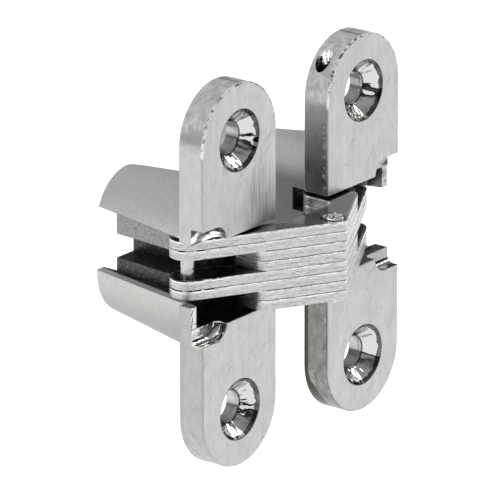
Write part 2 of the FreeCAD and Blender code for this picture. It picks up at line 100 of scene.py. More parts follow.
@dataclass(frozen=True)
class HingeLayout:
    """Sizes that several sub-assemblies share, as in the CAD source."""

    plate_width: float = 12.7
    plate_height: float = 42.86
    plate_thick: float = 3.2
    leaf_gap: float = 8.95
    screw_spacing: float = 30.2
    recess_depth: float = 5.1
    relief: float = 1.95
    relief_inset: float = 2.3
    relief_depth: float = 1.5
    relief_height: float = 4.5
    pivot_inset: float = 1.75
    pivot_depth: float = 1.85
    apex_reach: float = 4.2
    slide_reach: float = 14.1
    slide_depth: float = 8.65
    link_pitch: float = 1.1125
    link_thick: float = 1.08
    link_gap: float = 0.016

    @property
    def leaf_pitch(self) -> float:
        """Distance between the two leaves' centre lines."""
        return self.plate_width + self.leaf_gap

    @property
    def apex(self) -> tuple:
        """Place of the centre pin's axis on X and Y."""
        return (self.leaf_pitch / 2, -self.apex_reach - self.plate_thick)

    @property
    def front(self) -> float:
        """Y of the plates' front faces."""
        return -self.plate_thick

    @property
    def recess_back(self) -> float:
        """Y of the back of the recess."""
        return self.recess_depth - self.plate_thick


LAYOUT = HingeLayout()


# Numpy surfaces


@dataclass
class Surface:
    """Vertices and faces gathered from grids and caps, made into one closed mesh."""

    name: str

    def __post_init__(self) -> None:
        """Start with no vertices, faces or point values."""
        self.points: list = []
        self.faces: list = []
        self.values: dict = {}
        self.count = 0

    def add_points(self, points: np.ndarray, **values: np.ndarray) -> np.ndarray:
        """Add a block of points in millimetres.

        Args:
            points: array of shape (..., 3).
            values: one number for each point, kept as a point attribute.

        Returns:
            The indices of the new points, in the shape of the block.
        """
        shape = points.shape[:-1]
        flat = points.reshape(-1, 3)
        index = np.arange(self.count, self.count + len(flat)).reshape(shape)
        self.points.append(flat)
        self.count += len(flat)
        for key, value in values.items():
            self.values.setdefault(key, []).append(np.broadcast_to(value, shape).ravel())
        return index

    def add_wall(self, index: np.ndarray) -> None:
        """Join neighbouring rows of a grid whose columns run round and close.

        Face (r, i) has the corners (r, i), (r+1, i), (r+1, i+1), (r, i+1).

        Args:
            index: point indices of shape (rows, columns).
        """
        after = np.roll(index, -1, axis=1)
        quads = np.stack((index[:-1], index[1:], after[1:], after[:-1]), axis=-1)
        self.faces += quads.reshape(-1, 4).tolist()

    def add_fan(self, ring: np.ndarray, pole: int, upward: bool) -> None:
        """Close a ring of points with triangles that meet at one pole.

        Args:
            ring: indices of the ring, counter-clockwise seen from above.
            pole: index of the pole.
            upward: whether the triangles face up.
        """
        after = np.roll(ring, -1)
        centre = np.full_like(ring, pole)
        order = (centre, ring, after) if upward else (centre, after, ring)
        self.faces += np.stack(order, axis=-1).tolist()

    def add_cap(self, rings: Sequence[np.ndarray], upward: bool) -> None:
        """Fill the flat area between an outer ring and the rings of its holes.

        Args:
            rings: index rings, the outer one first.
            upward: whether the cap faces up.
        """
        all_points = np.concatenate(self.points)
        order = np.concatenate(rings)
        flat = [Vector(point) for point in all_points[order][:, :2].tolist()]
        starts = np.cumsum([0] + [len(ring) for ring in rings])
        loops = [list(range(a, b)) for a, b in zip(starts[:-1], starts[1:])]
        _, _, triangles, origin, _, _ = delaunay_2d_cdt(flat, [], loops, 2, 1e-7)
        source = np.array([item[0] for item in origin])
        found = order[source[np.array(triangles)]]
        a, b, c = (all_points[found[:, k]][:, :2] for k in range(3))
        area = np.cross(b - a, c - a)
        wrong = (area > 0) != upward
        found[wrong] = found[wrong][:, ::-1]
        self.faces += found.tolist()

    def build(self, sharp_degrees: float = 38.0) -> bpy.types.Object:
        """Make the mesh object, in metres, at the origin.

        Args:
            sharp_degrees: edges sharper than this stay crisp in the shading.

        Returns:
            The object, linked to the scene.
        """
        mesh = bpy.data.meshes.new(self.name)
        mesh.from_pydata((np.concatenate(self.points) * MM).tolist(), [], self.faces)
        mesh.update()
        mesh.polygons.foreach_set("use_smooth", np.ones(len(mesh.polygons), dtype=bool))
        mesh.set_sharp_from_angle(angle=math.radians(sharp_degrees))
        for key, parts in self.values.items():
            layer = mesh.attributes.new(key, "FLOAT", "POINT")
            layer.data.foreach_set("value", np.concatenate(parts).astype(np.float32))
        body = bpy.data.objects.new(self.name, mesh)
        bpy.context.scene.collection.objects.link(body)
        return body


@dataclass(frozen=True)
class Outline:
    """A closed flat curve, counter-clockwise, with the outward direction at each point."""

    points: np.ndarray
    outward: np.ndarray

    def mirrored(self) -> "Outline":
        """Return the outline mirrored in X, still counter-clockwise."""
        turn = np.array((-1.0, 1.0))
        return Outline((self.points * turn)[::-1], (self.outward * turn)[::-1])

    def moved(self, place: Sequence[float]) -> "Outline":
        """Return the outline moved on X and Y."""
        return Outline(self.points + np.array(place), self.outward)

    def length(self) -> np.ndarray:
        """Return the way run along the outline at each point."""
        step = np.linalg.norm(np.roll(self.points, -1, axis=0) - self.points, axis=1)
        return np.concatenate(([0.0], np.cumsum(step)[:-1]))


def rounded_polygon(corners: Sequence[tuple], radii: Sequence[float],
                    arc_steps: int = 16, side_steps: int = 10) -> Outline:
    """Round the corners of a counter-clockwise polygon.

    At a corner p with unit directions u to the last corner and v to the next one, the arc of
    radius r starts r / tan(angle / 2) along u, ends as far along v, and its centre lies on the
    bisector at r / sin(angle / 2). Points between two arcs are spread evenly.

    Args:
        corners: corners on X and Y.
        radii: one radius for each corner.
        arc_steps: points on each arc.
        side_steps: points inside each straight side.

    Returns:
        The outline.
    """
    corner = np.array(corners, float)
    radius = np.array(radii, float)[:, None]
    back = np.roll(corner, 1, axis=0) - corner
    ahead = np.roll(corner, -1, axis=0) - corner
    back /= np.linalg.norm(back, axis=1, keepdims=True)
    ahead /= np.linalg.norm(ahead, axis=1, keepdims=True)
    angle = np.arccos(np.clip((back * ahead).sum(1), -1, 1))[:, None]
    middle = back + ahead
    middle /= np.linalg.norm(middle, axis=1, keepdims=True)
    centre = corner + middle * radius / np.sin(angle / 2)
    cut = radius / np.tan(angle / 2)
    start = corner + back * cut
    end = corner + ahead * cut
    turn = np.sign(back[:, 1] * ahead[:, 0] - back[:, 0] * ahead[:, 1])
    first = np.arctan2(*(start - centre).T[::-1])
    last = np.arctan2(*(end - centre).T[::-1])
    sweep = (last - first + math.pi) % (2 * math.pi) - math.pi
    share = np.linspace(0, 1, arc_steps)
    phi = first[:, None] + sweep[:, None] * share
    ray = np.stack((np.cos(phi), np.sin(phi)), axis=-1)
    arcs = centre[:, None, :] + ray * radius[:, :, None]
    arc_out = ray * turn[:, None, None]
    share = (np.arange(side_steps) + 1.0) / (side_steps + 1.0)
    following = np.roll(start, -1, axis=0)
    sides = end[:, None, :] + (following - end)[:, None, :] * share[:, None]
    side_out = np.stack((ahead[:, 1], -ahead[:, 0]), axis=-1)[:, None, :] * np.ones((side_steps, 1))
    points = np.concatenate((arcs, sides), axis=1).reshape(-1, 2)
    outward = np.concatenate((arc_out, side_out), axis=1).reshape(-1, 2)
    return Outline(points, outward)


def round_hole(centre: Sequence[float], radius: float, steps: int = 48) -> Outline:
    """Return a round hole: a clockwise circle whose outward direction points to its centre.

    Args:
        centre: centre on X and Y.
        radius: radius of the hole.
        steps: points round it.

    Returns:
        The outline.
    """
    phi = -np.arange(steps) * 2 * math.pi / steps
    ray = np.stack((np.cos(phi), np.sin(phi)), axis=-1)
    return Outline(np.array(centre) + ray * radius, -ray)


def ripple(way: np.ndarray, waves: Sequence[float], seed: int) -> np.ndarray:
    """Sum sine waves of the given wave numbers, each with a phase from the seed, between -1 and 1."""
    phase = np.random.default_rng(seed).uniform(0, 2 * math.pi, len(waves))
    return np.sin(np.multiply.outer(way, np.array(waves)) + phase).mean(axis=-1)


def carry_profile(surface: Surface, outline: Outline, inset: np.ndarray, height: np.ndarray,
                  **values: np.ndarray) -> np.ndarray:
    """Carry a section along an outline: point (r, i) = outline(i) - outward(i) * inset(r, i).

    Args:
        surface: where the points and faces go.
        outline: the path.
        inset: how far each row lies inside the path, of shape (rows, 1) or (rows, points).
        height: Z of each row, of shape (rows, 1) or (rows, points).
        values: point values of the same shapes.

    Returns:
        The point indices, of shape (rows, points).
    """
    shape = (len(inset), len(outline.points))
    across = outline.points[None] - outline.outward[None] * np.broadcast_to(inset, shape)[..., None]
    up = np.broadcast_to(height, shape)[..., None]
    index = surface.add_points(np.concatenate((across, up), axis=-1), **values)
    surface.add_wall(index)
    return index


def turned_piece(name: str, radius: np.ndarray, height: np.ndarray, centre: Sequence[float],
                 steps: int = 64, values: Optional[dict] = None) -> Surface:
    """Turn a section about an upright axis: (x, y) = centre + radius(r, phi) (cos phi, sin phi).

    Args:
        name: name of the piece.
        radius: radii from the top row to the bottom row, of shape (rows,) or (rows, steps).
        height: heights of the same shape.
        centre: axis on X and Y.
        steps: points round the axis.
        values: point values of shape (rows,) or (rows, steps).

    Returns:
        A closed surface with a pole at each end.
    """
    surface = Surface(name)
    phi = np.arange(steps) * 2 * math.pi / steps
    rows = len(radius)
    radii = np.broadcast_to(radius.reshape(rows, -1), (rows, steps))
    heights = np.broadcast_to(height.reshape(rows, -1), (rows, steps))
    x = centre[0] + radii * np.cos(phi)
    y = centre[1] + radii * np.sin(phi)
    extra = {key: np.broadcast_to(value.reshape(rows, -1), (rows, steps))
             for key, value in (values or {}).items()}
    index = surface.add_points(np.stack((x, y, heights), axis=-1), **extra)
    surface.add_wall(index)
    for row, upward in ((0, True), (-1, False)):
        pole = np.array([[centre[0], centre[1], heights[row].mean()]])
        ends = {key: np.array([value[row].mean()]) for key, value in extra.items()}
        surface.add_fan(index[row], int(surface.add_points(pole, **ends)[0]), upward)
    return surface


# Node materials


class Wire:
    """A node socket with operators and calls that place the next nodes.

    On masks, which run from 0 to 1, * keeps the share where both are, | takes the greater and ~
    turns the mask over.
    """

    def __init__(self, socket: bpy.types.NodeSocket) -> None:
        """Keep the socket."""
        self.socket = socket

    def node(self, kind: str, feeds: dict, output: Union[int, str] = 0, **settings: object) -> "Wire":
        """Place a node in the same tree and return one of its outputs."""
        return Wire(add_node(self.socket.id_data, kind, feeds, **settings).outputs[output])

    def calc(self, operation: str, *others: "Feed") -> "Wire":
        """Return the result of one calculation on this number and others."""
        return self.node("Math", dict(enumerate((self, *others))), operation=operation)

    __add__ = partialmethod(calc, "ADD")
    __sub__ = partialmethod(calc, "SUBTRACT")
    __mul__ = partialmethod(calc, "MULTIPLY")
    __truediv__ = partialmethod(calc, "DIVIDE")
    __or__ = partialmethod(calc, "MAXIMUM")
    __abs__ = partialmethod(calc, "ABSOLUTE")

    def __invert__(self) -> "Wire":
        """Return one less the number."""
        return self.node("Math", {0: 1.0, 1: self}, operation="SUBTRACT")

    def span(self, other: "Wire") -> "Wire":
        """Return the length of the diagonal over two lengths."""
        return (self * self + other * other).calc("SQRT")

    def rise(self, low: float, high: float) -> "Wire":
        """Return 0 below low, 1 above high and a smooth step between them."""
        feeds = {"Value": self, "From Min": low, "From Max": high}
        return self.node("MapRange", feeds, "Result", interpolation_type="SMOOTHSTEP")

    def fall(self, low: float, high: float) -> "Wire":
        """Return 1 below low, 0 above high and a smooth step between them."""
        return ~self.rise(low, high)

    def band(self, rise: tuple, fall: tuple) -> "Wire":
        """Return 1 between a rise and a fall, each given by its two ends."""
        return self.rise(*rise) * self.fall(*fall)

    def spread(self, low: float = 0.35, high: float = 0.65, new_low: float = 0.0,
               new_high: float = 1.0) -> "Wire":
        """Return the number mapped evenly from one range to another, held at the ends."""
        feeds = {"Value": self, "From Min": low, "From Max": high, "To Min": new_low, "To Max": new_high}
        return self.node("MapRange", feeds, "Result")

    def mix(self, first: "Feed", second: "Feed") -> "Wire":
        """Return a mix of two numbers, with this share of the second."""
        return self.node("Mix", {0: self, 2: first, 3: second}, data_type="FLOAT")

    def paint(self, first: "Feed", second: "Feed") -> "Wire":
        """Return a mix of two colours, with this share of the second."""
        return self.node("Mix", {0: self, 6: first, 7: second}, 2, data_type="RGBA")

    def noise(self, scale: float, detail: float = 3.0, rough: float = 0.55, warp: float = 0.0) -> "Wire":
        """Return a cloudy number between 0 and 1 at these coordinates."""
        feeds = {"Vector": self, "Scale": scale, "Detail": detail, "Roughness": rough, "Distortion": warp}
        return self.node("TexNoise", feeds)

    def stretch(self, scale: tuple, place: tuple = (0.0, 0.0, 0.0)) -> "Wire":
        """Return these coordinates scaled and moved."""
        return self.node("Mapping", {"Vector": self, "Scale": scale, "Location": place})

    def cloud(self, scale: tuple, detail: float = 3.0, rough: float = 0.6, warp: float = 0.0,
              place: tuple = (0.0, 0.0, 0.0)) -> "Wire":
        """Return noise on these coordinates, stretched."""
        return self.stretch(scale, place).noise(1.0, detail, rough, warp)

    def bump(self) -> "Wire":
        """Return the normal given by this height in millimetres."""
        return self.node("Bump", {"Height": self, "Strength": 1.0, "Distance": MM})

    def parts(self) -> tuple:
        """Return the X, Y and Z of these coordinates."""
        return tuple(self.node("SeparateXYZ", {0: self}, axis) for axis in range(3))

    def group(self, tree: bpy.types.NodeTree) -> SimpleNamespace:
        """Place a group on these coordinates and return its outputs by name."""
        made = add_node(self.socket.id_data, "Group", {"Place": self}, node_tree=tree)
        return SimpleNamespace(**{out.name.lower(): Wire(out) for out in made.outputs})


Feed = Union[float, tuple, Wire]


def feed(socket: bpy.types.NodeSocket, value: Feed) -> None:
    """Give a socket a constant or join it to a wire.

    Args:
        socket: the input to feed.
        value: the constant or the wire.
    """
    if isinstance(value, Wire):
        socket.id_data.links.new(value.socket, socket)
    else:
        socket.default_value = value


def add_node(tree: bpy.types.NodeTree, kind: str, feeds: Optional[dict] = None,
             **settings: object) -> bpy.types.Node:
    """Place one node.

    Args:
        tree: where the node goes.
        kind: the node's type without the ShaderNode prefix.
        feeds: socket name or number to a constant or a wire.
        settings: properties of the node.

    Returns:
        The node.
    """
    made = tree.nodes.new("ShaderNode" + kind)
    for key, value in settings.items():
        setattr(made, key, value)
    for key, value in (feeds or {}).items():
        feed(made.inputs[key], value)
    return made


def grey(level: float, blue: float = 0.98) -> tuple:
    """Return a slightly warm grey, whose blue is a share of its level."""
    return (level, level, level * blue, 1)


def node_group(name: str, fill: Callable[[Wire], dict]) -> bpy.types.NodeTree:
    """Make a shader node group once and return it.

    Args:
        name: the group's name.
        fill: takes the group's coordinates and returns the wire that feeds each output.

    Returns:
        The group's tree, with the input Place.
    """
    found = bpy.data.node_groups.get(name)
    if found:
        return found
    tree = bpy.data.node_groups.new(name, "ShaderNodeTree")
    tree.interface.new_socket("Place", in_out="INPUT", socket_type="NodeSocketVector")
    wires = fill(Wire(tree.nodes.new("NodeGroupInput").outputs["Place"]))
    for key, wire in wires.items():
        kind = "NodeSocketVector" if wire.socket.type == "VECTOR" else "NodeSocketFloat"
        tree.interface.new_socket(key, in_out="OUTPUT", socket_type=kind)
    leave = tree.nodes.new("NodeGroupOutput")
    for key, wire in wires.items():
        feed(leave.inputs[key], wire)
    return tree


def brushing(place: Wire) -> dict:
    """Sum fine, middle and broad brushed lines drawn out along Z.

    Args:
        place: coordinates in millimetres.

    Returns:
        The lines Line and the broad clouds Patch between them.
    """
    fine = place.cloud((7.0, 7.0, 0.22), 4.0, 0.7)
    middle = place.cloud((2.4, 2.4, 0.09), place=(3.7, 0.0, 1.3))
    patch = place.cloud((0.35, 0.35, 0.16), place=(9.1, 0.0, 4.0))
    return {"Line": (fine * 0.6 + middle * 0.4).spread(0.36, 0.64), "Patch": patch.spread(0.3, 0.7)}


def cast_skin(place: Wire) -> dict:
    """Sum the soft swells, the grain and the scattered pits of a casting.

    Args:
        place: coordinates in millimetres.

    Returns:
        The masks Swell, Grain and Pit, and their sum Height.
    """
    swell = place.noise(0.55, 3.0, 0.5, 0.3)
    grain = place.noise(3.4, 5.0, 0.62, 0.2)
    cells = place.node("TexVoronoi", {"Vector": place, "Scale": 2.3, "Randomness": 1.0}, "Distance")
    pit = cells.fall(0.05, 0.2) * place.noise(1.3, 2.0, 0.5).rise(0.54, 0.6)
    return {"Swell": swell.spread(0.3, 0.7), "Grain": grain.spread(0.3, 0.7), "Pit": pit,
            "Height": swell * 0.7 + grain * 0.35 - pit * 0.5}


def scratches(place: Wire) -> dict:
    """Take the thin middle lines of three stretched noises, kept where another one allows.

    Args:
        place: coordinates in millimetres.

    Returns:
        The mask Line.
    """
    lines = []
    for turn, scale in ((0.5, 0.9), (-0.9, 0.7), (1.9, 1.1)):
        turned = place.node("VectorRotate", {"Vector": place, "Angle": turn}, rotation_type="Y_AXIS")
        drawn = turned.stretch((2.2, 2.2, 0.12), (turn, 0.0, 2.0)).noise(scale, 1.0)
        kept = place.noise(0.45 + 0.2 * scale, 2.0).rise(0.52, 0.62)
        lines.append(abs(drawn - 0.5).fall(0.0, 0.008) * kept)
    return {"Line": lines[0] | lines[1] | lines[2]}


@dataclass(frozen=True)
class LeafEdges:
    """Soft edges of the leaf's zones in millimetres: where each mask begins and where it is full."""

    rim: tuple = (0.1, 0.3)
    side_back: tuple = (0.05, 0.1)
    body: tuple = (0.02, 0.1)
    outer: tuple = (0.0, 0.4)
    inner: tuple = (0.2, 0.6)
    sink: tuple = (3.36, 3.42)
    bore: tuple = (1.78, 1.82)
    bore_back: tuple = (0.2, 0.4)
    mouth: tuple = (0.97, 1.0)
    mouth_end: tuple = (-16.4, -15.4)
    recess: tuple = (4.72, 4.76)
    slide_low: tuple = (-2.36, -2.32)
    slide_high: tuple = (4.82, 4.86)
    slide_side: tuple = (5.2, 5.4)
    slide_front: tuple = (0.5, 0.6)
    cheek_top: tuple = (-2.2, -2.15)
    cheek_side: tuple = (-4.7, -4.6)
    cheek_taper: float = 0.2077
    sill_side: tuple = (5.82, 5.86)
    sill_front: tuple = (0.15, 0.2)
    brink_low: tuple = (-4.8, -4.7)
    brink_top: tuple = (-2.1, -2.06)
    brink_front: tuple = (-1.66, -1.63)
    brink_back: tuple = (-1.57, -1.54)
    brink_side: tuple = (-5.3, -5.2)


def leaf_zones(place: Wire) -> dict:
    """Tell the faces of a leaf apart by the distances to the screw axes and the plate's edges.

    Args:
        place: millimetres from the middle of the leaf's seat, with the leaf's outer side towards
            lower X.

    Returns:
        The masks, the distance Hole to the nearer screw axis and the coordinates Chatter round it.
    """
    size, edges = LAYOUT, LeafEdges()
    x, y, z = place.parts()
    up = abs(z)
    front, back, half = size.front, size.recess_back, size.plate_width / 2
    arc_centre = size.plate_height / 2 - half
    rim = x.span((up - arc_centre) | 0.0).rise(half - edges.rim[1], half - edges.rim[0])
    away = up - size.screw_spacing / 2
    hole = x.span(away)
    face = y.fall(front + 0.02, front + 0.07)
    side = rim * face.fall(0.4, 0.6) * y.fall(*edges.side_back)
    mouth = (x - (half - size.pivot_inset)).span(y - (size.pivot_depth + front))
    recess = up.fall(*edges.recess) * y.fall(back, back + 0.04)
    slide = (z.band(edges.slide_low, edges.slide_high) * x.fall(*edges.slide_side)
             * y.rise(*edges.slide_front))
    outward = (y | 0.0) * -edges.cheek_taper + x
    cheek = z.fall(*edges.cheek_top) * outward.fall(*edges.cheek_side)
    sill = x.rise(*edges.sill_side) * y.rise(*edges.sill_front)
    groove = ((x - (size.relief_inset - half)) | 0.0).span((up - size.relief_height) | 0.0)
    floor = front + size.relief_depth
    near = hole + 0.05
    around = {0: x / near, 1: away / near, 2: hole * 0.3 + z.calc("SIGN")}
    return {
        "Face": face,
        "Lip": y.fall(front + 0.12, front + 0.3) * rim,
        "Sunk": hole.fall(*edges.sink) * y.fall(front + 1.8, front + 2.0),
        "Curved": side * x.fall(*edges.outer) * up.rise(arc_centre + 1.1, arc_centre + 1.25),
        "Hole": hole,
        "Shell": y.rise(*edges.body),
        "Inner": side * x.rise(*edges.inner),
        "Cavity": (recess | slide) * ~(cheek | sill),
        "Relief": (groove.fall(size.relief + 0.04, size.relief + 0.08) * up.rise(*edges.recess)
                   * y.band((front + 0.07, front + 0.14), (floor + 0.04, floor + 0.07))),
        "Bore": hole.fall(*edges.bore) * y.fall(*edges.bore_back),
        "Mouth": mouth.fall(*edges.mouth) * z.fall(*edges.mouth_end),
        "Brink": (z.band(edges.brink_low, edges.brink_top) * y.band(edges.brink_front, edges.brink_back)
                  * x.fall(*edges.brink_side)),
        "Chatter": place.node("CombineXYZ", around),
    }


@dataclass(frozen=True)
class Finish:
    """Common ground of the finishes: a name and one shader in a fresh material."""

    name: str

    def look(self, raw: Wire) -> dict:
        """Return what feeds the shader.

        Args:
            raw: Object coordinates in metres.

        Returns:
            A constant or a wire for each of the shader's inputs in use.
        """
        raise NotImplementedError

    def material(self) -> bpy.types.Material:
        """Build the node material.

        Returns:
            The material.
        """
        material = bpy.data.materials.new(self.name)
        material.use_nodes = True
        tree = material.node_tree
        shader = next(node for node in tree.nodes if node.type == "BSDF_PRINCIPLED")
        raw = Wire(add_node(tree, "TexCoord").outputs["Object"])
        for key, value in self.look(raw).items():
            feed(shader.inputs[key], value)
        return material


@dataclass(frozen=True)
class EndTones:
    """Tones of a leaf's visible side and the greys of its rivet reliefs, above and below. The sides and ends
    are darker on the lower half as painted shade and paler on the upper ends as painted light; the relief
    greys are painted reflections.

    In a tone 0 is the light grey, 1 the dark one, and below 0 is paler.
    """

    side_up: float
    side_low: float
    end_up: float
    end_low: float
    relief_up: float
    relief_low: float
    back_edge: float
    reflection_light: float


@dataclass(frozen=True)
class CastPalette:
    """Colours of the casting: plated plate, shell skin with painted shade, slideway painted dark as shade,
    chipped lip with painted glints, and reliefs with painted reflections.
    """

    light: tuple = (0.535, 0.54, 0.535, 1)
    dark: tuple = (0.27, 0.27, 0.262, 1)
    darkest_shade_and_marks: tuple = (0.06, 0.058, 0.052, 1)
    pale: tuple = (0.95, 0.95, 0.94, 1)
    shell_light: tuple = (0.73, 0.73, 0.715, 1)
    shell_dark: tuple = (0.58, 0.58, 0.565, 1)
    shell_lower_shade: tuple = (0.3, 0.3, 0.292, 1)
    shell_shade: tuple = (0.13, 0.13, 0.125, 1)
    slide_low: tuple = (0.03, 0.03, 0.029, 1)
    slide_high: tuple = (0.32, 0.32, 0.31, 1)
    slide_grain: tuple = (0.16, 0.16, 0.155, 1)
    chip_dark: tuple = (0.1, 0.1, 0.098, 1)
    wear_and_glint: tuple = (0.92, 0.92, 0.91, 1)
    reflection_dark: tuple = (0.07, 0.07, 0.068, 1)


@dataclass(frozen=True)
class LeafPoint:
    """What a leaf's finish reads at a point.

    The wire raw holds Object coordinates in metres; x, y and z are millimetres in the leaf's own
    coordinates, and up is z without its sign. Above is 1 on the hinge's upper half.
    """

    raw: Wire
    x: Wire
    y: Wire
    z: Wire
    up: Wire
    height: Wire
    above: Wire
    zone: SimpleNamespace
    brush: SimpleNamespace
    skin: SimpleNamespace
    scratch: Wire


@dataclass(frozen=True)
class CastLeafFinish(Finish):
    """Satin-plated casting: brushed face, mottled ends with painted light and shade, chattered countersinks,
    slideway painted dark as shade.
    """

    centre_x: float
    turned: bool
    ends: EndTones
    streaks: float
    streak_place: tuple = (3.6, 7.2)
    palette: CastPalette = CastPalette()

    def read(self, raw: Wire) -> LeafPoint:
        """Place the shared groups on the Object coordinates and gather what the finish reads.

        Args:
            raw: Object coordinates in metres.

        Returns:
            The wires.
        """
        sign = -1000 if self.turned else 1000
        place = raw.stretch((sign, 1000, sign), (-math.copysign(self.centre_x, sign), 0, 0))
        fine = raw.stretch((1000, 1000, 1000))
        x, y, z = place.parts()
        height = raw.parts()[2]
        return LeafPoint(raw, x, y, z, abs(z), height, height.rise(-MM, MM),
                         place.group(node_group("leaf_zones", leaf_zones)),
                         fine.group(node_group("brushed_lines", brushing)),
                         fine.group(node_group("cast_skin", cast_skin)),
                         fine.group(node_group("hair_scratches", scratches)).line)

    def streak_masks(self, at: LeafPoint) -> tuple:
        """Return the patch of strong lines low on one side of the face, and the lines in it.

        Args:
            at: what the finish reads at a point.

        Returns:
            The masks of the patch and of its lines.
        """
        near = (at.x - self.streak_place[0]).span((at.z - self.streak_place[1]) * 0.6)
        patch = near.fall(0.4, 4.0) * self.streaks
        return patch, patch * at.raw.cloud((5200, 5200, 200)).rise(0.4, 0.62)

    def nick_mask(self, at: LeafPoint) -> Wire:
        """Return the nicks along the front edge of the inner side."""
        strip = at.zone.inner * at.y.fall(LAYOUT.front + 0.55, LAYOUT.front + 0.85) * at.up.fall(13.0, 14.5)
        return strip * at.raw.cloud((2600, 2600, 1500), rough=0.7).rise(0.56, 0.62)

    def side_tone(self, at: LeafPoint) -> Wire:
        """Return the tone of the plate's sides, curved ends and back face.

        Args:
            at: what the finish reads at a point.

        Returns:
            The tone: sides and mottled ends, darker below as painted shade and paler on the upper ends as
                painted light, painted shade towards the recess, and the darker rear edge.
        """
        zone, up, above, ends = at.zone, at.up, at.above, self.ends
        mottle = at.raw.cloud((1000, 1000, 800), 5.0, 0.7, 0.5).spread(0.36, 0.64, -0.5, 0.5)
        # Painted shade: the upper inner side darkens towards the recess
        recess_shade = up.fall(7.5, 9.5) * zone.inner * above * 0.42
        # Painted light and shade: sides and ends take darker tones on the lower half and paler ones on the
        # upper half
        side = mottle * 0.22 + above.mix(ends.side_low, ends.side_up) + recess_shade
        foot = up.fall(16.2, 17.8) * zone.curved * above * 0.65
        end = mottle * 0.42 + above.mix(ends.end_low, ends.end_up) + foot
        tone = (zone.curved | zone.inner * up.rise(14.2, 16.2)).mix(side, end)
        back = at.y + up.spread(16.0, 19.5, 0.0, 1.1)
        tone = back.rise(-0.75, -0.25) * ~above * ends.back_edge + tone
        # The back face of the plate, seated in the mortise, has one even tone
        return at.y.rise(-0.1, -0.04).mix(tone, mottle * 0.2 + 0.45)

    def face_tone(self, at: LeafPoint, patch: Wire, strong: Wire) -> Wire:
        """Return the tone of the brushed face with its patch of strong lines.

        Args:
            at: what the finish reads at a point.
            patch: the patch of strong lines.
            strong: the strong lines.

        Returns:
            The tone: the sum of lines, clouds and speckle.
        """
        cloud = at.raw.cloud((900, 900, 450), 5.0, 0.62, 0.3, (2.0, 0.0, 5.0)).spread()
        speckle = at.raw.cloud((6500, 6500, 4200), 2.0).spread(new_low=-0.5, new_high=0.5)
        lines = at.brush.line * 0.16 + at.brush.patch * 0.14
        return lines + cloud * 0.17 + speckle * 0.16 + patch * 0.14 + strong * 0.65

    def sink_tone(self, at: LeafPoint, tone: Wire) -> Wire:
        """Return the tone with the dark rims painted as shade and the mottled bores of the screw holes.

        Args:
            at: what the finish reads at a point.
            tone: the tone of the rest of the plate.

        Returns:
            The tone, light in the countersinks.
        """
        hole = at.zone.hole
        fore = at.y.fall(LAYOUT.front + 1.8, LAYOUT.front + 2.0)
        # Painted shade: a dark ring along the countersink's rim and a dark line where the cone meets the bore
        ragged = (at.raw.cloud((1300, 1300, 1300)) - 0.5) * 0.5 + hole
        ring = fore * ragged.rise(2.98, 3.1) * hole.fall(3.42, 3.5)
        seam = fore * hole.band((1.76, 1.8), (1.9, 1.96))
        rings = ring.mix(-1.0, at.skin.swell.mix(1.25, 1.6)) | seam.mix(-1.0, 1.4)
        tone = at.zone.sunk.mix(tone, 0.0) | rings
        return at.zone.bore.mix(tone, at.raw.cloud((900, 300, 900)).spread() * 0.5 + 0.1)

    def body_colour(self, at: LeafPoint, colour: Wire) -> Wire:
        """Return the colour with the shell behind the plate, darker low down and beside the recess as painted
        shade, and the slideway in it painted near black as shade.

        Args:
            at: what the finish reads at a point.
            colour: the plate's colour.

        Returns:
            The colour, mixed by the masks Shell and Cavity.
        """
        grain, hue = at.skin.grain, self.palette
        shell = grain.paint(hue.shell_light, hue.shell_dark)
        # Painted shade: the shell darkens towards the bottom
        shell = (at.height.fall(-7 * MM, -2 * MM) * 0.85).paint(shell, hue.shell_lower_shade)
        shade = at.x.rise(4.4, 5.4) * at.up.fall(5.2, 7.4) * 0.75
        shell = shade.paint(shell, hue.shell_shade)
        # Painted shade: the recess and slideway are near black low down and lighter on the upper rail
        slide = at.z.rise(1.9, 2.2).paint(hue.slide_low, hue.slide_high)
        slide = grain.rise(0.4, 1.0).paint(slide, hue.slide_grain)
        return at.zone.cavity.paint(at.zone.shell.paint(colour, shell), slide)

    def carved_colour(self, at: LeafPoint, colour: Wire) -> Wire:
        """Return the colour with the chipped upper lip and its painted glints, the bright mouth and the
        reliefs with painted reflections.

        Args:
            at: what the finish reads at a point.
            colour: the colour under them.

        Returns:
            The colour, mixed by the masks Lip, Mouth, Relief and Brink.
        """
        hue, ends = self.palette, self.ends
        # The worn upper lip: dark flecks are chips and bright flecks are painted glints; the pivot mouth
        # takes the same near white
        chips_and_glints = at.raw.cloud((1700, 1700, 1700), rough=0.65)
        arc = at.zone.lip * at.up.rise(14.2, 15.0) * at.above
        colour = (arc * chips_and_glints.fall(0.42, 0.46)).paint(colour, hue.chip_dark)
        colour = (arc * chips_and_glints.rise(0.47, 0.5) | at.zone.mouth).paint(colour, hue.wear_and_glint)
        # Painted reflections: dark and pale folds in the glossy reliefs and along the brink, in greys that
        # differ above and below
        painted_reflection = at.raw.cloud((420, 400, 1300), rough=0.5, place=(0.7, 3.0, 0.4))
        carved = painted_reflection.rise(0.42, 0.5).paint(hue.reflection_dark, grey(ends.relief_up))
        carved = painted_reflection.rise(0.52, 0.6).paint(carved, grey(ends.reflection_light, 0.99))
        carved = at.above.paint(grey(ends.relief_low), carved)
        return (at.zone.relief | at.zone.brink).paint(colour, carved)

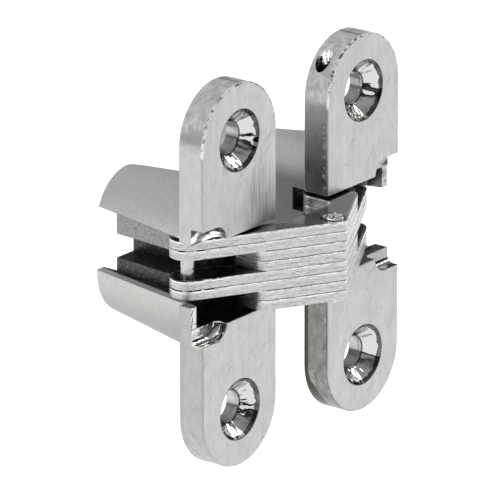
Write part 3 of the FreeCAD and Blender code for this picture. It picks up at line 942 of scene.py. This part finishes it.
    def colour(self, at: LeafPoint, patch: Wire, strong: Wire, nick: Wire) -> Wire:
        """Return the colour.

        Args:
            at: the wires at the point.
            patch: the patch of strong lines on the face.
            strong: the strong lines.
            nick: the nicks.

        Returns:
            The colour of the whole leaf.
        """
        tone = self.sink_tone(at, at.zone.face.mix(self.side_tone(at), self.face_tone(at, patch, strong)))
        tone = (tone | at.skin.pit.mix(-1.0, 0.9)) + nick * -0.7
        colour = tone.paint(self.palette.light, self.palette.dark)
        # Tones past 1 go to near black: painted shade on the darkest sides, rear edges and countersink rims,
        # and the strongest streak lines
        colour = tone.spread(1.0, 1.5).paint(colour, self.palette.darkest_shade_and_marks)
        colour = tone.spread(-0.5, 0.0, 1.0, 0.0).paint(colour, self.palette.pale)
        return self.carved_colour(at, self.body_colour(at, colour))

    def metallic(self, at: LeafPoint) -> Wire:
        """Return the metallic share, lower on the upper ends, the lips and the shell."""
        end = at.zone.curved | at.zone.inner * at.up.rise(14.6, 16.4)
        return ~(end * at.above * 0.85 | at.zone.lip * 0.45 | at.zone.shell * 0.65)

    def roughness(self, at: LeafPoint) -> Wire:
        """Return the roughness: satin face and sides, dull ends and shell, mirror sinks and reliefs.

        Args:
            at: what the finish reads at a point.

        Returns:
            The roughness, where each mask covers the ones before it.
        """
        zone, rough = at.zone, 0.33
        glossy = zone.sunk | zone.relief | zone.brink | zone.mouth
        for mask, value in ((zone.curved, 0.42), (zone.shell, 0.55), (zone.face, at.brush.line * 0.07 + 0.35),
                            (zone.cavity, 0.3), (zone.lip, 0.45), (glossy, 0.05), (zone.bore, 0.3)):
            rough = mask.mix(rough, value)
        return rough

    def relief(self, at: LeafPoint, strong: Wire, nick: Wire) -> Wire:
        """Return the bump height: brushed lines, cast skin, tool chatter, ragged reliefs and nicks.

        Args:
            at: what the finish reads at a point.
            strong: the strong lines.
            nick: the nicks.

        Returns:
            The sum in millimetres, each part inside its own mask.
        """
        zone = at.zone
        lines = (at.brush.line - at.scratch * 1.4 - strong * 2.0) * zone.face * 0.012
        skin = at.skin.height * ~(zone.face | zone.sunk) * zone.shell.mix(0.03, 0.05)
        wave = zone.chatter.noise(2.0, 1.0, 0.4) * 0.5 + zone.chatter.noise(5.6, 1.0, 0.5) * 0.05
        ragged = at.raw.cloud((1100, 1100, 1100), 2.0, 0.5, 0.4)
        ragged = ragged * (zone.relief * 0.09 + zone.brink * 0.3 + zone.mouth * 0.12)
        return lines + skin + wave * zone.sunk * ~zone.bore + ragged - nick * 0.06

    def look(self, raw: Wire) -> dict:
        """Return what feeds the shader, read in the leaf's own coordinates.

        Args:
            raw: Object coordinates in metres.

        Returns:
            A constant or a wire for each of the shader's inputs in use.
        """
        at = self.read(raw)
        patch, strong = self.streak_masks(at)
        nick = self.nick_mask(at)
        return {"Base Color": self.colour(at, patch, strong, nick), "Metallic": self.metallic(at),
                "Roughness": self.roughness(at), "Normal": self.relief(at, strong, nick).bump()}


@dataclass(frozen=True)
class StampedLinkFinish(Finish):
    """Stamped plate: rolled faces, a bright sheared band and a torn band on the edge."""

    light: tuple = (0.72, 0.72, 0.71, 1)
    dark: tuple = (0.4, 0.4, 0.392, 1)
    seam: tuple = (0.1, 0.1, 0.098, 1)
    shade: tuple = (0.06, 0.06, 0.058, 1)
    burr_and_glint: tuple = (0.9, 0.9, 0.89, 1)
    tip_dark: tuple = (0.04, 0.04, 0.04, 1)
    rivet_shade_ring: tuple = (0.03, 0.03, 0.03, 1)

    def colour(self, place: Wire, edge: Wire, depth: Wire, lines: Wire, grain: Wire) -> Wire:
        """Return the colour.

        Faces between the plates and inside the leaves, the feet's edges deep in the leaves and the edges past
        the centre pin are painted dark as shade; the burr along the top edge carries painted glints, the
        rolled long ends carry painted white and black dashes of highlight and reflection, and a painted shade
        ring runs round the rivet's head.

        Args:
            place: Object coordinates in millimetres.
            edge: 1 on the sheared edge.
            depth: share of the thickness below the top.
            lines: lines along the edge.
            grain: fine clouds.

        Returns:
            The colour.
        """
        tone = edge.mix(grain.spread() * 0.3, lines.spread() * 0.7)
        tone = tone * place.noise(4.0, 3.0, 0.7).fall(0.66, 0.72)
        seam = abs(place.cloud((0.25, 0.25, 5.5), 2.0, 0.5, 0.3) - 0.5).fall(0.0, 0.02) * edge
        x, y, _ = place.parts()
        across = x - LAYOUT.apex[0]
        aside, flats = abs(across), ~edge
        # Painted shade: flat faces deep in the leaves, the feet's edges deep in the leaves and the edges past
        # the centre pin
        inside = flats * y.rise(-3.7, -2.7) * aside.rise(4.5, 5.5) * 0.9
        feet = edge * y.rise(-2.3, -1.3) * aside.fall(8.6, 9.2) * 0.7
        past = edge * across.rise(0.1, 0.5) * 0.22
        # Painted glints: bright patches on the top corners and along the burr
        corner = flats * edge * 6.0 * place.noise(2.6, 4.0, 0.7).rise(0.45, 0.5)
        burr_and_glint = edge * depth.fall(0.12, 0.18) * place.cloud((1.1, 1.1, 3.0), 4.0, 0.7).rise(0.47, 0.52)
        # Painted highlight and reflection: white and black dashes on the long tips
        tip = edge * aside.rise(11.5, 13.0) * place.noise(0.9, 3.0, 0.6).rise(0.42, 0.5)
        # Painted shade: a near-black ring on the plate round the rivet's head
        rivet_shade_ring = flats * across.span(y - LAYOUT.apex[1]).fall(1.33, 1.42)
        colour = (tone | seam * 0.9).paint(self.light, self.dark)
        for mask, paint in ((seam * 0.7, self.seam), (inside | feet | past, self.shade),
                            (corner | burr_and_glint, self.burr_and_glint), (tip * depth.fall(0.22, 0.26), self.burr_and_glint),
                            (tip * depth.fall(0.1, 0.12), self.tip_dark), (rivet_shade_ring, self.rivet_shade_ring)):
            colour = mask.paint(colour, paint)
        return colour

    def look(self, raw: Wire) -> dict:
        """Return what feeds the shader, with the point values edge and depth of the links.

        Args:
            raw: Object coordinates in metres.

        Returns:
            A constant or a wire for each of the shader's inputs in use.
        """
        place = raw.stretch((1000, 1000, 1000))
        edge = raw.node("Attribute", {}, "Fac", attribute_name="edge")
        depth = raw.node("Attribute", {}, "Fac", attribute_name="depth")
        torn = edge * depth.rise(0.42, 0.5)
        lines = place.stretch((1.0, 1.0, 9.0)).noise(1.6, 4.0, 0.7)
        grain = place.noise(5.0, 4.0, 0.6)
        swell = place.group(node_group("cast_skin", cast_skin)).swell
        hairs = place.group(node_group("hair_scratches", scratches)).line
        height = lines * (torn * 0.02 + 0.03) * edge + swell * ~edge * 0.012 - hairs * 0.006
        return {"Base Color": self.colour(place, edge, depth, lines, grain), "Metallic": 1.0,
                "Roughness": edge.mix(0.13, torn * 0.04 + 0.32) + grain * 0.06, "Normal": height.bump()}


@dataclass(frozen=True)
class BrightPinFinish(Finish):
    """Plated pin: bright, with faint turned rings."""

    light: tuple = (0.88, 0.88, 0.87, 1)
    dark: tuple = (0.55, 0.55, 0.54, 1)
    rough: float = 0.06

    def look(self, raw: Wire) -> dict:
        """Return what feeds the shader.

        Args:
            raw: Object coordinates in metres.

        Returns:
            A constant or a wire for each of the shader's inputs in use.
        """
        place = raw.stretch((1000, 1000, 1000))
        cloud = place.noise(2.5, 4.0, 0.6)
        height = place.cloud((0.3, 0.3, 9.0)) * 0.006 + cloud * 0.01
        return {"Base Color": (cloud.spread(high=0.7) * 0.5).paint(self.light, self.dark), "Metallic": 1.0,
                "Roughness": cloud * 0.1 + self.rough, "Normal": height.bump()}


@dataclass(frozen=True)
class PaperFinish(Finish):
    """Matt white studio paper, lit a little by itself so that it stays pale."""

    light: tuple = (0.96, 0.96, 0.96, 1)
    dark: tuple = (0.93, 0.93, 0.93, 1)
    glow: float = 0.8

    def look(self, raw: Wire) -> dict:
        """Return what feeds the shader.

        Args:
            raw: Object coordinates in metres.

        Returns:
            A constant or a wire for each of the shader's inputs in use.
        """
        white = raw.cloud((60, 60, 60), rough=0.55).paint(self.dark, self.light)
        return {"Base Color": white, "Roughness": 0.9, "Emission Color": white,
                "Emission Strength": self.glow}


# Sub-assemblies

CASTINGS = {
    Side.LEFT: CastLeafFinish(
        "left_casting", centre_x=0.0, turned=False, streaks=1.0,
        ends=EndTones(side_up=0.28, side_low=0.5, end_up=-0.12, end_low=0.5, relief_up=0.24,
                      relief_low=0.58, back_edge=0.1, reflection_light=0.9)),
    Side.RIGHT: CastLeafFinish(
        "right_casting", centre_x=LAYOUT.leaf_pitch, turned=True, streaks=0.0,
        ends=EndTones(side_up=0.72, side_low=1.15, end_up=-0.16, end_low=1.1, relief_up=0.3,
                      relief_low=0.33, back_edge=0.75, reflection_light=0.4)),
}


@dataclass
class CastLeaf:
    """One cast leaf, shown by its CAD solid with a finish of its own."""

    side: Side

    @property
    def node(self) -> str:
        """Name of the leaf's CAD node."""
        return self.side.value + "_leaf"

    def dress(self, nodes: dict) -> None:
        """Put the casting's finish on the leaf.

        Args:
            nodes: the CAD nodes by name.
        """
        mesh = nodes[self.node].data
        mesh.materials.clear()
        mesh.materials.append(CASTINGS[self.side].material())
        log.info("dressed %s", self.node)


@dataclass
class LinkPack:
    """The four link laminations whose long arms slide in one leaf."""

    side: Side
    levels: tuple
    nose: float = 1.8
    heel: float = 3.03
    foot_in: float = 2.2
    foot_back: float = 2.2
    arm_start: float = 4.0
    tip_back: tuple = (0.504, 2.906)
    tip_front: tuple = (2.707, 0.684)
    radii: tuple = (0.35, 1.5, 2.1, 2.1, 1.0, 2.5, 1.9, 1.9)
    bores: tuple = (1.03, 0.83, 0.81)
    roll: float = 0.035
    roll_width: float = 1.15
    roll_wave: float = 0.25
    edge_margin: float = 0.3
    hole_margin: float = 0.18
    land: float = 0.06
    sheared: float = 0.55
    lift: float = 0.02
    tear: float = 0.01
    tear_waves: tuple = (0.012, 0.008)
    undercut: float = 0.04
    rough_waves: tuple = (1.1, 2.7, 5.3, 9.7, 14.3)
    ragged_waves: tuple = (3.1, 7.9, 12.7)

    @property
    def body(self) -> str:
        """Name of the moving body."""
        return self.side.value + "_links"

    def outline(self) -> Outline:
        """Return the dog-leg outline about the centre pin.

        Returns:
            The outline with the long arm on the pack's own side.
        """
        toe = LAYOUT.leaf_gap / 2 + LAYOUT.pivot_inset + self.foot_in
        foot = toe - 2 * self.foot_in
        back = LAYOUT.apex_reach + LAYOUT.pivot_depth + self.foot_back
        corners = (
            (0.0, 0.001 - self.nose), (toe, self.heel), (toe, back), (foot, back), (foot, self.heel),
            (-self.arm_start, self.heel),
            (-LAYOUT.slide_reach - self.tip_back[0], LAYOUT.slide_depth + self.tip_back[1]),
            (-LAYOUT.slide_reach - self.tip_front[0], LAYOUT.slide_depth - self.tip_front[1]),
        )
        shape = rounded_polygon(corners, self.radii)
        return shape if self.side is Side.LEFT else shape.mirrored()

    def holes(self) -> tuple:
        """Return the three holes: centre pin, fixed pivot and slide pin.

        Returns:
            Their outlines about the centre pin.
        """
        sign = 1.0 if self.side is Side.LEFT else -1.0
        pivot = (sign * (LAYOUT.leaf_gap / 2 + LAYOUT.pivot_inset), LAYOUT.apex_reach + LAYOUT.pivot_depth)
        slide = (-sign * LAYOUT.slide_reach, LAYOUT.slide_depth)
        return tuple(map(round_hole, ((0, 0), pivot, slide), self.bores))

    def lamination(self, number: int, level: int) -> bpy.types.Object:
        """Build one stamped lamination.

        The edge section runs from the flat top over a quarter-round roll, down a straight sheared
        band, and inward over a torn band whose depth ripples along the outline.

        Args:
            number: the lamination's number in its node name.
            level: its place in the stack.

        Returns:
            The object.
        """
        name = "%s_link_plate_%d" % (self.side.value, number)
        base = LAYOUT.link_pitch * level + LAYOUT.link_gap
        if self.side is Side.RIGHT:
            base = -base - LAYOUT.link_thick
        thick = LAYOUT.link_thick
        surface = Surface(name)
        share = np.linspace(0, 1, 7)[:, None]
        roll_in = self.roll * self.roll_width * (1 - np.sin(share * math.pi / 2))
        roll_up = thick - self.roll * (1 - np.cos(share * math.pi / 2))
        land_up = np.linspace(thick - self.roll - self.land, thick * self.sheared, 4)[:, None]
        share = share[1:]
        torn_up = thick * self.sheared * (1 - share) + self.lift * share
        height = np.concatenate(([[thick]], roll_up, land_up, torn_up, [[0.0], [0.0]])) + base
        depth = 1 - (height - base) / thick
        on_edge = np.ones_like(height)
        on_edge[[0, -1]] = 0.0
        rings = []
        for part, edge in enumerate((self.outline(), *self.holes())):
            shape = edge.moved(LAYOUT.apex)
            way = shape.length()[None, :]
            rough = ripple(way, self.rough_waves, number * 7 + part + level)
            ragged = ripple(way, self.ragged_waves, number * 3 + part)
            torn_in = share * (self.tear + self.tear_waves[0] * rough + self.tear_waves[1] * ragged)
            margin = np.full((1, way.size), self.hole_margin if part else self.edge_margin)
            inset = np.concatenate((
                margin, roll_in * (1 + self.roll_wave * rough), np.zeros((len(land_up), way.size)),
                np.maximum(torn_in, 0.0), np.full((1, way.size), self.tear + self.undercut), margin))
            rings.append(carry_profile(surface, shape, inset, height, edge=on_edge, depth=depth))
        surface.add_cap([ring[0] for ring in rings], True)
        surface.add_cap([ring[-1] for ring in rings], False)
        return surface.build()

    def build(self, material: bpy.types.Material) -> None:
        """Build, dress and hang the four laminations.

        Args:
            material: the stamped steel.
        """
        for number, level in enumerate(self.levels, start=1):
            plate = self.lamination(number, level)
            plate.data.materials.append(material)
            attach(plate, self.body)
            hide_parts("%s_link_%d" % (self.side.value, number))
            log.info("built %s with %d faces", plate.name, len(plate.data.polygons))


@dataclass
class CentreRivet:
    """The riveted centre pin: a shank with a hammered head at each end."""

    shank: float = 1.0
    head: float = 1.25
    rise: float = 0.42
    stack: float = 4.45
    steps: int = 72
    rim_wave: float = 0.05
    flatness: float = 0.45
    petals: int = 7
    petal_depth: float = 0.45
    petal_turn: float = 0.4

    def surface(self) -> Surface:
        """Build the rivet as one turned piece with uneven heads.

        The head's section is a flattened dome: radius = head * sin(a), height = rise * cos(a) ^
        flatness, lowered by round dimples and drawn in along a wavy rim.

        Returns:
            The surface.
        """
        phi = np.arange(self.steps) * 2 * math.pi / self.steps
        share = np.linspace(0.06, 1, 14)[:, None] * math.pi / 2
        dome = self.rise * np.cos(share) ** self.flatness
        heads = []
        for waves, rim_seed, spot_seed in (((2, 3, 5), 4, 3), ((2, 3, 4), 9, 8)):
            rim = 1 - self.rim_wave * (1 + ripple(phi, waves, rim_seed)[None, :])
            radius = self.head * np.sin(share) * rim
            level = self.stack + dome * (1 - self.dimples(radius, phi, spot_seed)) * self.crown(share, phi)
            heads.append((radius, level))
        (top_r, top_z), (low_r, low_z) = heads
        neck, neck_z = (np.full((1, self.steps), value) for value in (self.shank, self.stack))
        radius = np.concatenate((top_r, neck, neck, low_r[::-1]))
        height = np.concatenate((top_z, neck_z, -neck_z, -low_z[::-1]))
        return turned_piece("centre_rivet", radius, height, LAYOUT.apex, self.steps)

    def dimples(self, radius: np.ndarray, phi: np.ndarray, seed: int) -> np.ndarray:
        """Return hammer dimples: a sum of exp(-distance^2 / width^2) over a few places.

        Args:
            radius: radii of the points, of shape (rows, steps).
            phi: angles of the columns.
            seed: picks the places.

        Returns:
            Depth as a share of the rise, of the shape of radius.
        """
        picker = np.random.default_rng(seed)
        x = radius * np.cos(phi)
        y = radius * np.sin(phi)
        spots = picker.uniform(-0.75, 0.75, (6, 2))
        depth = picker.uniform(0.15, 0.4, 6)
        width = picker.uniform(0.18, 0.4, 6)
        gap = (x[..., None] - spots[:, 0]) ** 2 + (y[..., None] - spots[:, 1]) ** 2
        return np.clip((depth * np.exp(-gap / width ** 2)).sum(-1), 0, 0.75)

    def crown(self, share: np.ndarray, phi: np.ndarray) -> np.ndarray:
        """Return the petals left by the punch: 1 - depth * sin(share)^2 * (1 + cos(petals * phi)) / 2.

        Args:
            share: angles from the top of the dome, of shape (rows, 1).
            phi: angles of the columns.

        Returns:
            A share of the height, of shape (rows, steps).
        """
        wave = 1 + np.cos(self.petals * phi + self.petal_turn)[None, :]
        return 1 - self.petal_depth * np.sin(share) ** 2 * wave / 2

    def build(self, material: bpy.types.Material) -> None:
        """Build, dress and hang the rivet.

        Args:
            material: the bright steel.
        """
        rivet = self.surface().build(60.0)
        rivet.data.materials.append(material)
        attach(rivet, "left_links")
        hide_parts("centre_pin")
        log.info("built %s", rivet.name)


@dataclass
class RoundPin:
    """A straight pin with chamfered ends and one faint ring."""

    node: str
    body: str
    place: tuple
    low: float
    high: float
    radius: float = 0.8
    chamfer: float = 0.12
    bend: tuple = (0.15, 0.7)
    ring_at: float = 0.45
    ring_depth: float = 0.04
    ring_width: float = 0.09

    def surface(self) -> Surface:
        """Build the pin: straight rows between two chamfers, with a ring groove.

        The groove's depth is ring_depth * exp(-((z - ring) / ring_width)^2).

        Returns:
            The surface.
        """
        length = self.high - self.low
        ring = self.low + length * self.ring_at
        height = np.concatenate((
            [self.high, self.high - self.chamfer * self.bend[0]],
            np.linspace(self.high - self.chamfer, self.low + self.chamfer, 60),
            [self.low + self.chamfer * self.bend[0], self.low]))
        radius = np.full(height.shape, self.radius)
        radius[[0, -1]] -= self.chamfer
        radius[[1, -2]] -= self.chamfer * self.bend[1]
        radius -= self.ring_depth * np.exp(-((height - ring) / self.ring_width) ** 2)
        return turned_piece(self.node + "_turned", radius, height, self.place, 56)

    def build(self, material: bpy.types.Material) -> None:
        """Build, dress and hang the pin.

        Args:
            material: the bright steel.
        """
        pin = self.surface().build(30.0)
        pin.data.materials.append(material)
        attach(pin, self.body)
        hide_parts(self.node)
        log.info("built %s", pin.name)


# Studio


@dataclass(frozen=True)
class SoftLamp:
    """One soft rectangular lamp that faces the hinge, in metres and watts."""

    name: str
    place: tuple
    size: tuple
    power: float
    aim: tuple = (0.01, 0, 0)

    def build(self) -> None:
        """Place the lamp."""
        data = bpy.data.lights.new(self.name, "AREA")
        data.shape = "RECTANGLE"
        data.size, data.size_y = self.size
        data.energy = self.power
        lamp = bpy.data.objects.new(self.name, data)
        bpy.context.scene.collection.objects.link(lamp)
        lamp.location = self.place
        lamp.rotation_euler = (Vector(self.aim) - Vector(self.place)).to_track_quat("-Z", "Y").to_euler()


@dataclass
class Studio:
    """Pale floor, soft lights and the camera at the photograph's viewing angle."""

    lamps: tuple = (
        SoftLamp("top_soft", (-0.25, 0.05, 1.0), (0.8, 0.8), 2.2),
        SoftLamp("left_soft", (-0.95, 0.3, 0.62), (0.5, 0.6), 1.6),
        SoftLamp("right_soft", (0.80, -0.40, 0.66), (0.45, 0.45), 1.9),
    )
    azimuth: float = -52.021
    elevation: float = 19.121
    roll: float = -0.062
    distance: float = 829.055
    focal_pixels: float = 7812.6
    frame_pixels: float = 500.0
    target: tuple = (1.755, -3.2, 2.399)
    floor_z: float = -62.0
    floor_radius: float = 2.6
    floor_dip: float = 0.002
    floor_steps: int = 72
    room_low: tuple = (0.035, 0.035, 0.033, 1)
    room_high: tuple = (0.5, 0.5, 0.5, 1)

    def camera(self) -> None:
        """Place the camera on its sphere about the target and turn it by the roll."""
        az, el = math.radians(self.azimuth), math.radians(self.elevation)
        ray = Vector((math.sin(az) * math.cos(el), -math.cos(az) * math.cos(el), math.sin(el)))
        aim = Vector(self.target) * MM
        data = bpy.data.cameras.new("photo_camera")
        data.sensor_width = 36.0
        data.sensor_fit = "HORIZONTAL"
        data.lens = self.focal_pixels / self.frame_pixels * data.sensor_width
        data.clip_start, data.clip_end = 0.01, 20.0
        camera = bpy.data.objects.new("photo_camera", data)
        bpy.context.scene.collection.objects.link(camera)
        right = (-ray).cross(Vector((0, 0, 1))).normalized()
        up = right.cross(-ray)
        turn = Matrix((right, up, ray)).transposed().to_4x4()
        spin = Matrix.Rotation(math.radians(self.roll), 4, "Z")
        camera.matrix_world = Matrix.Translation(aim + ray * self.distance * MM) @ turn @ spin
        bpy.context.scene.camera = camera

    def floor(self) -> None:
        """Lay a large round sheet of paper: a polar grid that dips softly towards its rim.

        Height at radius d metres is the floor less floor_dip * (d / floor_radius)^2 metres.
        """
        steps, radius = self.floor_steps, self.floor_radius
        rings = np.concatenate(([0.02], np.linspace(0.2, radius, 24)))[:, None]
        phi = -np.arange(steps) * 2 * math.pi / steps
        x, y = rings * np.cos(phi), rings * np.sin(phi)
        z = np.broadcast_to(self.floor_z * MM - self.floor_dip * (rings / radius) ** 2, x.shape)
        sheet = Surface("studio_paper")
        index = sheet.add_points(np.stack((x, y, z), axis=-1) / MM)
        sheet.add_wall(index)
        pole = int(sheet.add_points(np.array([[0.0, 0.0, self.floor_z]]))[0])
        sheet.add_fan(index[0], pole, False)
        paper = sheet.build()
        paper.data.materials.append(PaperFinish("studio_paper").material())
        paper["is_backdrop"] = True

    def lights(self) -> None:
        """Light the hinge from above, from the left and from the front right."""
        for lamp in self.lamps:
            lamp.build()
        world = bpy.data.worlds.new("studio_room")
        world.use_nodes = True
        back = next(node for node in world.node_tree.nodes if node.type == "BACKGROUND")
        way = Wire(add_node(world.node_tree, "TexCoord").outputs["Generated"])
        level = way.parts()[2].rise(0.15, 0.95)
        feed(back.inputs["Color"], level.paint(self.room_low, self.room_high))
        feed(back.inputs["Strength"], 1.0)
        bpy.context.scene.world = world

    def build(self) -> None:
        """Set up the whole studio."""
        self.floor()
        self.lights()
        self.camera()
        bpy.context.scene.view_settings.view_transform = "Standard"
        log.info("set up the studio")


def box_lists() -> list:
    """Return the present bounds of the model as plain lists."""
    return json.loads(json.dumps(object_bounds(), default=list))


def main() -> None:
    """Load the frame, build every piece, dress the CAD nodes and set up the studio."""
    logging.basicConfig(level=logging.INFO, format="%(name)s: %(message)s")
    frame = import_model()
    cad_box = box_lists()
    for side in Side:
        CastLeaf(side).dress(frame["nodes"])
    stamped = StampedLinkFinish("stamped_link").material()
    LinkPack(Side.LEFT, (3, 2, -1, -2)).build(stamped)
    LinkPack(Side.RIGHT, (-2, -1, 2, 3)).build(stamped)
    bright = BrightPinFinish("bright_pin").material()
    CentreRivet().build(bright)
    pivot_x = LAYOUT.plate_width / 2 - LAYOUT.pivot_inset
    pivot_y = LAYOUT.pivot_depth - LAYOUT.plate_thick
    slide_y = LAYOUT.apex[1] + LAYOUT.slide_depth
    slide_x, near, far = LAYOUT.slide_reach, *SLIDE_PIN_ENDS
    pins = (
        RoundPin("left_pivot_pin", "left_leaf", (pivot_x, pivot_y), -PIVOT_PIN_END, PIVOT_PIN_END),
        RoundPin("right_pivot_pin", "right_leaf", (LAYOUT.leaf_pitch - pivot_x, pivot_y),
                 -PIVOT_PIN_END, PIVOT_PIN_END),
        RoundPin("left_slide_pin", "left_links", (LAYOUT.apex[0] - slide_x, slide_y), -near, far),
        RoundPin("right_slide_pin", "right_links", (LAYOUT.apex[0] + slide_x, slide_y), -far, near),
    )
    satin = BrightPinFinish("satin_pin", (0.56, 0.56, 0.55, 1), (0.3, 0.3, 0.29, 1), 0.24).material()
    for pin in pins:
        pin.build(satin)
    Studio().build()
    {"cad": cad_box, "visual": box_lists()}


if __name__ == "__main__":
    main()
